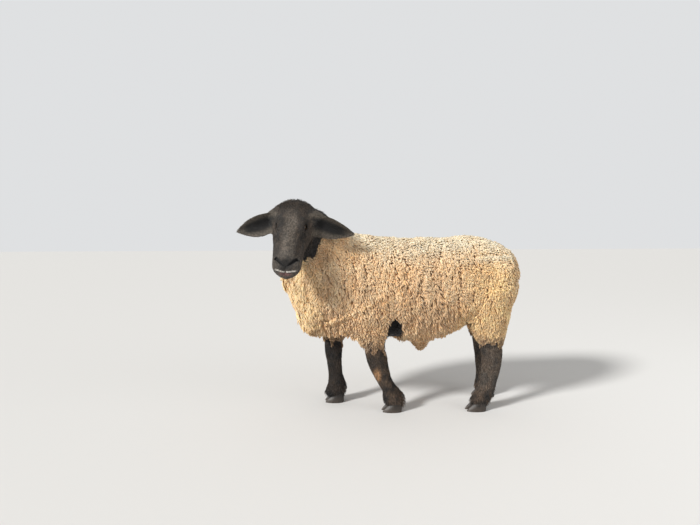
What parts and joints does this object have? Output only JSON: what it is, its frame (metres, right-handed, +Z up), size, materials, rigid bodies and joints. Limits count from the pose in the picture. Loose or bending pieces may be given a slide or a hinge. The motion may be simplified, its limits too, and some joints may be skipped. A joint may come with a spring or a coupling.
{
  "type": "sheep",
  "caption": "Standing woolled sheep with a bare black face and legs, drooping ears and a docked tail, its head turned to its left.",
  "frame": {"origin": "on the floor under the middle of the sheep's bounding box", "axes": "+Z up; the sheep faces -X with its head turned towards -Y, which is its left side; +X runs to its tail"},
  "size_m": [1.2198, 0.5284, 0.9014],
  "materials": {
    "fleece": "thick curly wool, warm cream",
    "black_hair": "short brown-black hair lying flat on skin",
    "horn": "dark satin hoof horn",
    "eye": "wet, glossy, dark amber with a level slot pupil"
  },
  "bodies": {
    "root": {"dewclaw_fore_left_inner": "horn", "dewclaw_fore_left_outer": "horn", "dewclaw_fore_right_inner": "horn", "dewclaw_fore_right_outer": "horn", "dewclaw_hind_left_inner": "horn", "dewclaw_hind_left_outer": "horn", "dewclaw_hind_right_inner": "horn", "dewclaw_hind_right_outer": "horn", "ear_left": "black_hair", "ear_right": "black_hair", "eye_left": "eye", "eye_right": "eye", "head": "black_hair", "hoof_fore_left_inner": "horn", "hoof_fore_left_outer": "horn", "hoof_fore_right_inner": "horn", "hoof_fore_right_outer": "horn", "hoof_hind_left_inner": "horn", "hoof_hind_left_outer": "horn", "hoof_hind_right_inner": "horn", "hoof_hind_right_outer": "horn", "lower_jaw": "black_hair", "lower_leg_fore_left": "black_hair", "lower_leg_fore_right": "black_hair", "lower_leg_hind_left": "black_hair", "lower_leg_hind_right": "black_hair", "neck": "fleece", "tail": "fleece", "trunk": "fleece", "upper_leg_fore_left": "fleece", "upper_leg_fore_right": "fleece", "upper_leg_hind_left": "fleece", "upper_leg_hind_right": "fleece"}
  },
  "joints": []
}
